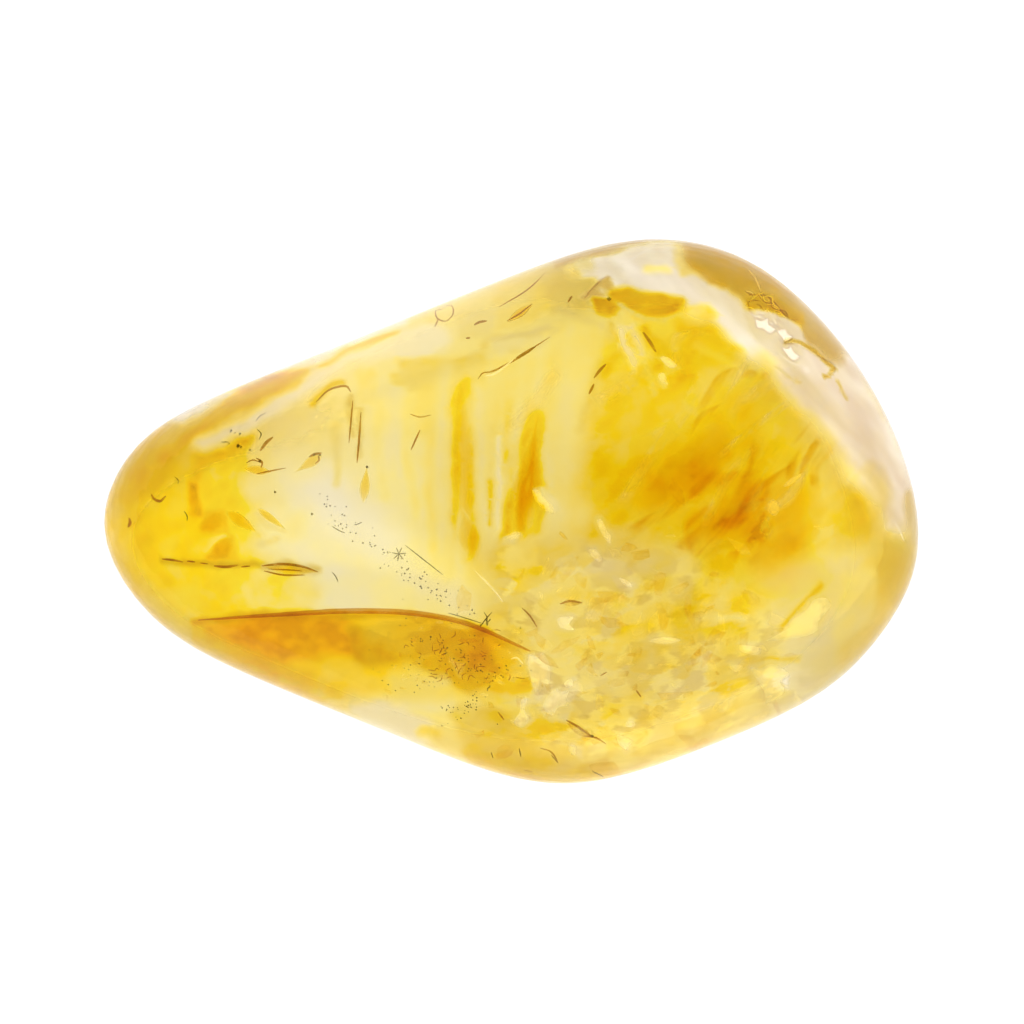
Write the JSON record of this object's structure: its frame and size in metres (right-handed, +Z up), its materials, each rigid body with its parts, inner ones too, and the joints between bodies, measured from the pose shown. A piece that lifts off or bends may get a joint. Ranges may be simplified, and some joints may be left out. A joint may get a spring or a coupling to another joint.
{
  "type": "tumbled citrine",
  "caption": "Tumbled citrine pebble, a see-through yellow quartz stone worn smooth, with one thin end and one broad end, lying on a worn flat.",
  "frame": {"origin": "on the surface that the stone lies on, under the middle of its outline's box", "axes": "+X from the thin end to the broad butt, along the longest way; +Z up, from the resting flat to the crown, the shortest way; +Y makes the frame right-handed"},
  "size_m": [0.03, 0.0202, 0.013],
  "materials": {
    "citrine": "polished clear yellow quartz, refractive index 1.544, pale to amber colour zones, small veils and specks inside"
  },
  "bodies": {
    "root": {"citrine": "citrine"}
  },
  "joints": []
}
